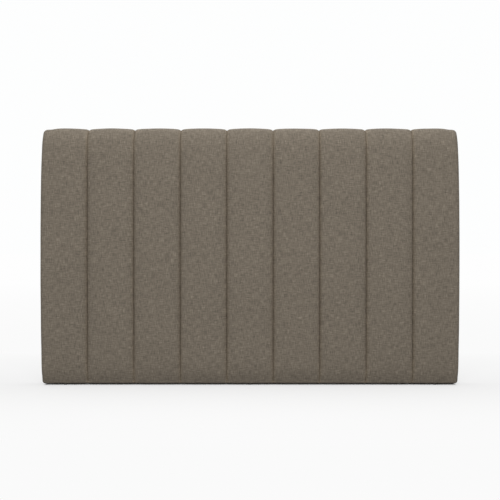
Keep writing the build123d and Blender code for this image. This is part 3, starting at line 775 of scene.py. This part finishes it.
# %% Helpers for node materials
class Recipe:
    """The nodes of a material or a world, with short ways to add and join them."""

    def __init__(self, name, kept_in=bpy.data.materials):
        self.material = kept_in.new(name)
        self.material.use_nodes = True
        self.tree = self.material.node_tree
        self.shader = self.tree.nodes.get("Principled BSDF")
        self.coords = self.tree.nodes.new("ShaderNodeTexCoord")

    def node(self, kind, **values):
        """A new node with its settings."""
        made = self.tree.nodes.new(kind)
        for key, value in values.items():
            setattr(made, key, value)
        return made

    def join(self, out, into):
        """Joins a node's output to another node's input."""
        self.tree.links.new(out, into)

    def feed(self, value, socket):
        """Gives a socket a number, or joins it to another node's output."""
        if isinstance(value, (int, float)):
            socket.default_value = value
        else:
            self.join(value, socket)

    def mapped(self, source, scale):
        """Coordinates stretched by a scale along each axis."""
        made = self.node("ShaderNodeMapping")
        made.inputs["Scale"].default_value = scale
        self.join(source, made.inputs["Vector"])
        return made.outputs["Vector"]

    def noise(self, vector, detail, rough=0.5):
        """Cloudy noise of about 0.5, with spots as long as one unit of the coordinates."""
        made = self.node("ShaderNodeTexNoise")
        made.inputs["Scale"].default_value = 1.0
        made.inputs["Detail"].default_value = detail
        made.inputs["Roughness"].default_value = rough
        self.join(vector, made.inputs["Vector"])
        return made.outputs["Fac"]

    def math(self, operation, a, b=None):
        """The result of one calculation on numbers or outputs."""
        made = self.node("ShaderNodeMath", operation=operation)
        self.feed(a, made.inputs[0])
        if b is not None:
            self.feed(b, made.inputs[1])
        return made.outputs["Value"]

    def around_one(self, value, amount):
        """A noise value of about 0.5 turned into a factor of 1, give or take the amount."""
        off_middle = self.math("SUBTRACT", value, 0.5)
        return self.math("ADD", self.math("MULTIPLY", off_middle, 2 * amount), 1.0)

    def tinted(self, color, factor):
        """A colour multiplied by a factor."""
        made = self.node("ShaderNodeVectorMath", operation="SCALE")
        made.inputs[0].default_value = color
        self.join(factor, made.inputs["Scale"])
        return made.outputs["Vector"]

    def bump(self, height, distance, strength=1.0):
        """Fine relief on the finish."""
        made = self.node("ShaderNodeBump")
        made.inputs["Distance"].default_value = distance
        made.inputs["Strength"].default_value = strength
        self.join(height, made.inputs["Height"])
        self.join(made.outputs["Normal"], self.shader.inputs["Normal"])

    def plain(self, **values):
        """Values that are the same over the whole finish."""
        for key, value in values.items():
            socket = key.replace("_", " ").title().replace("Ior", "IOR")
            self.shader.inputs[socket].default_value = value


# %% [markdown]
# ## Linen-look weave
# The cover is a plain weave of uneven yarns: thick and thin stretches of yarn along both directions
# give its mottled cross-hatch, and the yarns' roundness gives a fine bump. A picture of cloth could
# be laid over the pads, but it would repeat, while noise never does. The finish reads the cloth's own
# map, so that the yarns go round the edges as real ones do. Deep in a crease, light goes from cloth
# to cloth and comes out warmer, so a small warm tint of painted bounce light grows towards the seams.

# %% Linen-look weave
LINEN = (0.173, 0.147, 0.115)
# Painted bounce light: a warm tint added to the cloth's colour near the seams, standing in for light
# from cloth to cloth.
PAINTED_CREASE_BOUNCE = (0.08, 0.02, -0.08)
YARN, YARN_TONE = 0.0011, 0.07
DRIFT_SCALE, DRIFT = (60, 60, 60), 0.0012
SLUB_THICK, SLUB_LONG, SLUB_TONE = 0.0016, 0.022, 0.55
STREAK_THICK, STREAK_LONG = 0.0034, 0.03
STREAK_UP_TONE, STREAK_ACROSS_TONE = 0.42, 0.44
MOTTLE, MOTTLE_TONE = 0.007, 0.08
SLOW, SLOW_TONE = 0.16, 0.05
WEAVE_RELIEF, WEAVE_STRENGTH = 0.00035, 0.7


def linen():
    """The plain weave of uneven yarns, with a painted warm bounce light towards the seams."""
    r = Recipe("linen_weave")
    uv = r.node("ShaderNodeUVMap", uv_map="cloth").outputs["UV"]
    split = r.node("ShaderNodeSeparateXYZ")
    r.join(uv, split.inputs["Vector"])
    across, along = split.outputs["X"], split.outputs["Y"]

    def spots(wide, high, detail, rough=0.5):
        """Noise with spots of the given size on the cloth."""
        return r.noise(r.mapped(uv, (1 / wide, 1 / high, 1)), detail, rough)

    drift = r.noise(r.mapped(uv, DRIFT_SCALE), 1.0)
    waver = r.math("MULTIPLY", r.math("SUBTRACT", drift, 0.5), DRIFT)
    warp = r.math("SINE", r.math("MULTIPLY", r.math("ADD", across, waver), pi / YARN))
    weft = r.math("SINE", r.math("MULTIPLY", r.math("ADD", along, waver), pi / YARN))
    slub_up = spots(SLUB_THICK, SLUB_LONG, 2.0, 0.6)
    slub_across = spots(SLUB_LONG, SLUB_THICK, 2.0, 0.6)
    tone = r.around_one(slub_up, SLUB_TONE)
    for part, amount in (
        (slub_across, SLUB_TONE),
        (spots(STREAK_THICK, STREAK_LONG, 1.0), STREAK_UP_TONE),
        (spots(STREAK_LONG, STREAK_THICK, 1.0), STREAK_ACROSS_TONE),
        (spots(MOTTLE, MOTTLE, 3.0, 0.6), MOTTLE_TONE),
        (spots(SLOW, SLOW, 1.0), SLOW_TONE),
    ):
        tone = r.math("MULTIPLY", tone, r.around_one(part, amount))
    over = r.math("MULTIPLY", warp, weft)
    tone = r.math("MULTIPLY", tone, r.math("ADD", r.math("MULTIPLY", over, YARN_TONE), 1.0))
    # Painted bounce light: the crease attribute warms the colour towards the seams; the weave's tone is
    # the cloth's own.
    painted_bounce = r.node("ShaderNodeVectorMath", operation="MULTIPLY_ADD")
    painted_bounce.inputs[0].default_value = PAINTED_CREASE_BOUNCE
    painted_bounce.inputs[2].default_value = (1, 1, 1)
    r.join(r.node("ShaderNodeAttribute", attribute_name="crease").outputs["Fac"], painted_bounce.inputs[1])
    dyed_and_bounce_lit = r.node("ShaderNodeVectorMath", operation="MULTIPLY")
    r.join(r.tinted(LINEN, tone), dyed_and_bounce_lit.inputs[0])
    r.join(painted_bounce.outputs["Vector"], dyed_and_bounce_lit.inputs[1])
    r.join(dyed_and_bounce_lit.outputs["Vector"], r.shader.inputs["Base Color"])
    rounded = r.math("ADD", r.math("ABSOLUTE", warp), r.math("ABSOLUTE", weft))
    height = r.math("ADD", r.math("MULTIPLY", rounded, 0.5), r.math("ADD", slub_up, slub_across))
    r.bump(height, WEAVE_RELIEF, WEAVE_STRENGTH)
    r.plain(roughness=0.92, sheen_weight=0.05, sheen_roughness=0.5, specular_ior_level=0.2)
    return r.material


linen_weave = linen()
print("finish", linen_weave.name, "with a yarn every", YARN / MM, "mm")

# %% [markdown]
# ## Black cloth of the back
# A dust cover is a thin cloth of pressed fibres, dimpled by the roller that bonds them. It could be
# one flat black, but in light that grazes the back it would look like plastic. Long fibres, a felt
# noise and small dimples break it up.

# %% Dust cover's cloth
DUST_BLACK = (0.024, 0.024, 0.026)
FIBRE_SCALE, FELT_SCALE, DIMPLE_SCALE = (900, 300, 1), (260, 260, 1), 650


def dust_cloth():
    """Thin black felted cloth with fine dimples."""
    r = Recipe("dust_cloth")
    uv = r.node("ShaderNodeUVMap", uv_map="cloth").outputs["UV"]
    fibres = r.noise(r.mapped(uv, FIBRE_SCALE), 3.0, 0.7)
    felt = r.noise(r.mapped(uv, FELT_SCALE), 2.0, 0.6)
    tone = r.math("MULTIPLY", r.around_one(fibres, 0.5), r.around_one(felt, 0.3))
    r.join(r.tinted(DUST_BLACK, tone), r.shader.inputs["Base Color"])
    dimple = r.node("ShaderNodeTexVoronoi")
    dimple.inputs["Scale"].default_value = DIMPLE_SCALE
    r.join(uv, dimple.inputs["Vector"])
    r.bump(r.math("ADD", dimple.outputs["Distance"], fibres), 0.0002, 0.6)
    r.plain(roughness=0.85, sheen_weight=0.1, specular_ior_level=0.25)
    return r.material


dust_black = dust_cloth()
print("finish", dust_black.name)

# %% [markdown]
# ## Timber and plywood
# The timbers are sawn softwood: growth rings show as long streaks along the grain. A wave texture
# could draw the rings as even bands, but real rings are uneven, so a noise is stretched along the
# grain. Rails have their grain along the width and uprights along their height, so the stretch is
# chosen for each. The face board is plywood, with its face veneer's wide cathedral figure.

# %% Timber and plywood
RINGS_LONG = 0.12
BEND_SCALE = 9
FIBRES_FINE, FIBRES_LONG = 900, 27
DARK_AT, MIDDLE_AT, LIGHT_AT = 0.36, 0.5, 0.62
PINE_LIGHT, PINE_DARK = (0.66, 0.48, 0.28), (0.48, 0.31, 0.16)
PLY_LIGHT, PLY_DARK = (0.64, 0.48, 0.31), (0.50, 0.35, 0.21)
BEECH_LIGHT, BEECH_DARK = (0.66, 0.48, 0.33), (0.56, 0.39, 0.25)


def ramp(r, value, stops):
    """A colour picked from a row of colour stops by a value."""
    made = r.node("ShaderNodeValToRGB")
    made.color_ramp.elements[0].position, made.color_ramp.elements[0].color = stops[0]
    made.color_ramp.elements[1].position, made.color_ramp.elements[1].color = stops[-1]
    for position, color in stops[1:-1]:
        made.color_ramp.elements.new(position).color = color
    r.join(value, made.inputs["Fac"])
    return made.outputs["Color"]


def wood(name, light, dark, grain, ring_width, board=False):
    """Sawn timber whose grain runs along the named axis."""
    r = Recipe(name)
    place = r.coords.outputs["Object"]
    stretch = {"X": (RINGS_LONG, 1, 1), "Z": (1, 1, RINGS_LONG)}[grain]
    bent = r.noise(r.mapped(place, tuple(s * BEND_SCALE for s in stretch)), 2.0)
    rings = r.node("ShaderNodeTexNoise")
    rings.inputs["Scale"].default_value = 1 / ring_width
    rings.inputs["Detail"].default_value = 3.0
    rings.inputs["Distortion"].default_value = 0.6 if board else 0.25
    r.join(r.mapped(place, stretch), rings.inputs["Vector"])
    fine = {
        "X": (FIBRES_LONG, FIBRES_FINE, FIBRES_FINE),
        "Z": (FIBRES_FINE, FIBRES_FINE, FIBRES_LONG),
    }[grain]
    fibres = r.noise(r.mapped(place, fine), 2.0, 0.7)
    mixed = r.math("ADD", r.math("MULTIPLY", rings.outputs["Fac"], 0.7), r.math("MULTIPLY", bent, 0.3))
    middle = [(a + b) / 2 for a, b in zip(light, dark)]
    stops = [(DARK_AT, (*dark, 1)), (MIDDLE_AT, (*middle, 1)), (LIGHT_AT, (*light, 1))]
    r.join(ramp(r, mixed, stops), r.shader.inputs["Base Color"])
    r.bump(r.math("ADD", fibres, rings.outputs["Fac"]), 0.0003, 0.5)
    r.plain(roughness=0.65, specular_ior_level=0.35)
    return r.material


pine_along_x = wood("pine_rail", PINE_LIGHT, PINE_DARK, "X", 0.011)
pine_upright = wood("pine_upright", PINE_LIGHT, PINE_DARK, "Z", 0.011)
plywood = wood("plywood", PLY_LIGHT, PLY_DARK, "X", 0.03, board=True)
beech = wood("beech", BEECH_LIGHT, BEECH_DARK, "Z", 0.004)
print("finishes", [made.name for made in (pine_along_x, pine_upright, plywood, beech)])

# %% [markdown]
# ## Steel and plastic
# Staples, screws, nails and threaded inserts are zinc-plated steel, whose zinc lies in small
# spangles, some a little rougher than others. The glides are dark plastic with a fine grain and a
# few scuffs. Each could be one flat value, but small parts look drawn without this unevenness.

# %% Steel
ZINC, SPANGLE_SCALE = (0.60, 0.60, 0.60), (400, 400, 400)


def steel():
    """Zinc-plated steel of the staples, screws, nails and threaded inserts."""
    r = Recipe("zinc_steel")
    spangle = r.noise(r.mapped(r.coords.outputs["Object"], SPANGLE_SCALE), 2.0)
    r.join(r.tinted(ZINC, r.around_one(spangle, 0.15)), r.shader.inputs["Base Color"])
    rough = r.math("ADD", r.math("MULTIPLY", spangle, 0.2), 0.28)
    r.join(rough, r.shader.inputs["Roughness"])
    r.bump(spangle, 0.00005, 0.4)
    r.plain(metallic=1.0)
    return r.material


zinc_steel = steel()
print("finish", zinc_steel.name)

# %% Plastic
GLIDE_GREY, GRAIN_SCALE, SCUFF_SCALE = (0.035, 0.035, 0.035), (1500, 1500, 1500), (120, 120, 120)


def glide_plastic():
    """Dark plastic of the glides, a little scuffed."""
    r = Recipe("glide_plastic")
    place = r.coords.outputs["Object"]
    grain = r.noise(r.mapped(place, GRAIN_SCALE), 2.0)
    scuff = r.noise(r.mapped(place, SCUFF_SCALE), 3.0)
    r.join(r.tinted(GLIDE_GREY, r.around_one(scuff, 0.3)), r.shader.inputs["Base Color"])
    r.bump(grain, 0.0001, 0.5)
    r.plain(roughness=0.5)
    return r.material


dark_plastic = glide_plastic()
print("finish", dark_plastic.name)

# %% [markdown]
# ## Which piece has which finish
# Each node of the CAD model comes in with a plain material. The finishes could be given piece by
# piece in the viewport, but a table of names shows at a glance what is made of what.

# %% Give every piece its finish
def finish_piece(piece, material):
    """Replaces whatever finish a piece has by the given one."""
    piece.data.materials.clear()
    piece.data.materials.append(material)


for piece in (*pads, left_panel, right_panel):
    finish_piece(piece, linen_weave)
finish_piece(dust, dust_black)
for finish, names in (
    (pine_along_x, ("plinth_rail", "top_rail", "left_lower_corner_block", "left_upper_corner_block",
                    "right_lower_corner_block", "right_upper_corner_block")),
    (pine_upright, ("left_stile", "left_upright", "centre_upright", "right_upright", "right_stile")),
    (plywood, ("face_board",)),
    (beech, ("frame_dowels",)),
    (dark_plastic, ("floor_glides",)),
    (zinc_steel, ("face_board_screws", "cover_staples", "dust_cover_staples", "insert_nuts",
                  "glide_nails")),
):
    for name in names:
        finish_piece(nodes[name], finish)
    print(finish.name, "on", len(names), "nodes")

# %% [markdown]
# ## Floor
# The photograph is a product picture on white: its floor has no horizon, and a thin shadow lies
# under the lower edge. More light could make the floor white, but it would bleach the cloth too.
# Instead the floor glows for the camera only, more and more with the distance from the headboard,
# and stays a plain matt surface for the light. Close under the lower edge it stays matt for the
# camera as well, so that the thin dark line of contact remains.

# %% Shaders that are mixed
def between(r, value, start, end, low=0.0, high=1.0, soft=False):
    """A value that goes from low to high while the given one goes from start to end."""
    made = r.node("ShaderNodeMapRange", interpolation_type="SMOOTHSTEP" if soft else "LINEAR")
    for key, number in zip(("From Min", "From Max", "To Min", "To Max"), (start, end, low, high)):
        made.inputs[key].default_value = number
    r.join(value, made.inputs["Value"])
    return made.outputs["Result"]


def shining(r, kind, color, strength):
    """A shader that gives off light of one colour."""
    made = r.node(kind)
    made.inputs["Color"].default_value = color
    r.feed(strength, made.inputs["Strength"])
    return made.outputs[0]


def end_with(r, first, second, share, output):
    """Mixes two shaders by a share and makes the mix the whole finish."""
    mix = r.node("ShaderNodeMixShader")
    r.join(share, mix.inputs["Fac"])
    r.join(first, mix.inputs[1])
    r.join(second, mix.inputs[2])
    r.join(mix.outputs["Shader"], r.tree.nodes[output].inputs["Surface"])


# %% Make the floor
WHITE = (1, 1, 1, 1)
FLOOR_SIZE = 200
FLOOR_WHITE, FLOOR_BOUNCE = 0.93, 0.2
GLOW_START, GLOW_END = -1.4, 0.92
NEAR_GLOW, FAR_GLOW = 0.957, 0.99
FAR_START, FAR_END = 1.5, 9.0
UNDER_MIDDLE, UNDER_DEPTH, UNDER_SOFT = 0.018, 0.022, 0.014
SIDE_START, SIDE_END = 0.884, 0.897


def floor_finish():
    """White for the camera, and a plain matt floor for the light."""
    r = Recipe("floor_white")
    r.tree.nodes.remove(r.shader)
    split = r.node("ShaderNodeSeparateXYZ")
    r.join(r.coords.outputs["Object"], split.inputs["Vector"])
    to_camera = r.node("ShaderNodeLightPath").outputs["Is Camera Ray"]
    depth = r.math("ABSOLUTE", r.math("SUBTRACT", split.outputs["Y"], UNDER_MIDDLE))
    side = r.math("ABSOLUTE", split.outputs["X"])
    before = between(r, depth, UNDER_DEPTH, UNDER_DEPTH + UNDER_SOFT, soft=True)
    beside = between(r, side, SIDE_START, SIDE_END, soft=True)
    away = between(r, depth, GLOW_START, GLOW_END)
    open_share = r.math("MULTIPLY", away, r.math("MAXIMUM", before, beside))
    matt = r.node("ShaderNodeBsdfDiffuse")
    r.join(between(r, to_camera, 0, 1, FLOOR_BOUNCE, FLOOR_WHITE), matt.inputs["Color"])
    strength = between(r, depth, FAR_START, FAR_END, NEAR_GLOW, FAR_GLOW)
    glow = shining(r, "ShaderNodeEmission", WHITE, strength)
    share = r.math("MULTIPLY", open_share, to_camera)
    end_with(r, matt.outputs["BSDF"], glow, share, "Material Output")
    return r.material


bpy.ops.object.select_all(action="DESELECT")
bpy.ops.mesh.primitive_plane_add(size=FLOOR_SIZE, location=(0, 0, 0))
floor = bpy.context.object
floor.name = "floor"
finish_piece(floor, floor_finish())
print("floor", [round(length) for length in floor.dimensions], "m")

# %% [markdown]
# ## World
# A studio's pale walls give an even light from all sides. A picture of a studio could be wrapped
# round the scene, but for matt cloth one even light does the same. The camera, and whatever mirrors
# or lets light through, sees a white backdrop instead, so that the background costs no extra light.

# %% Make the world
WORLD_LIGHT = 0.3
BACKDROP = (0.985, 0.99, 0.99, 1)


def studio():
    """An even light, and a white backdrop for what the camera sees."""
    r = Recipe("studio", bpy.data.worlds)
    r.tree.nodes.remove(r.tree.nodes["Background"])
    path = r.node("ShaderNodeLightPath").outputs
    seen = r.math("MAXIMUM", path["Is Camera Ray"], path["Is Glossy Ray"])
    seen = r.math("MAXIMUM", seen, path["Is Transmission Ray"])
    light = shining(r, "ShaderNodeBackground", WHITE, WORLD_LIGHT)
    backdrop = shining(r, "ShaderNodeBackground", BACKDROP, 1.0)
    end_with(r, light, backdrop, seen, "World Output")
    return r.material


bpy.context.scene.world = studio()
print("world", bpy.context.scene.world.name)

# %% [markdown]
# ## Lamps
# In the photograph the crowns are lit evenly and only the seams go dark, so the light comes from a
# large lamp in front, above the camera. A weaker one over the top edge lights the roll there. Small
# lamps could give the same brightness, but their shadows would be hard.

# %% Make the lamps
def soft_lamp(name, place, width, depth, power):
    """A rectangular lamp that shines straight down until it is turned."""
    bpy.ops.object.select_all(action="DESELECT")
    bpy.ops.object.light_add(type="AREA", location=place)
    made = bpy.context.object
    made.name = name
    made.data.shape = "RECTANGLE"
    made.data.size = width
    made.data.size_y = depth
    made.data.energy = power
    return made


LAMP_PLACE, LAMP_AIM = Vector((0.0, -5.0, 2.4)), Vector((0.0, 0.0, 0.55))
front_lamp = soft_lamp("soft_lamp", LAMP_PLACE, 4.6, 2.0, 243)
front_lamp.rotation_mode = "QUATERNION"
front_lamp.rotation_quaternion = (LAMP_AIM - LAMP_PLACE).to_track_quat("-Z", "Y")
top_lamp = soft_lamp("top_lamp", Vector((0.0, 0.3, 3.0)), 4.0, 1.5, 45)
print("lamps", [(made.name, round(made.data.energy)) for made in (front_lamp, top_lamp)])

# %% [markdown]
# ## Camera
# The photograph was taken from straight in front, half way up the headboard, so its upright edges
# stay parallel. Many pairs of distance and lens give the outline the photograph's size. This one
# also shows as much of the rolled top as the photograph does.

# %% Place the camera
CAMERA_PLACE = (0.0, -3.05, 0.583)
LENS, SENSOR = 50.6, 36
bpy.context.scene.view_settings.view_transform = "Standard"
camera_data = bpy.data.cameras.new("camera")
camera = bpy.data.objects.new("camera", camera_data)
bpy.context.scene.collection.objects.link(camera)
camera.location = CAMERA_PLACE
camera.rotation_euler = (pi / 2, 0, 0)
camera_data.lens = LENS
camera_data.sensor_width = SENSOR
bpy.context.scene.camera = camera
print("camera", CAMERA_PLACE, "lens", LENS)
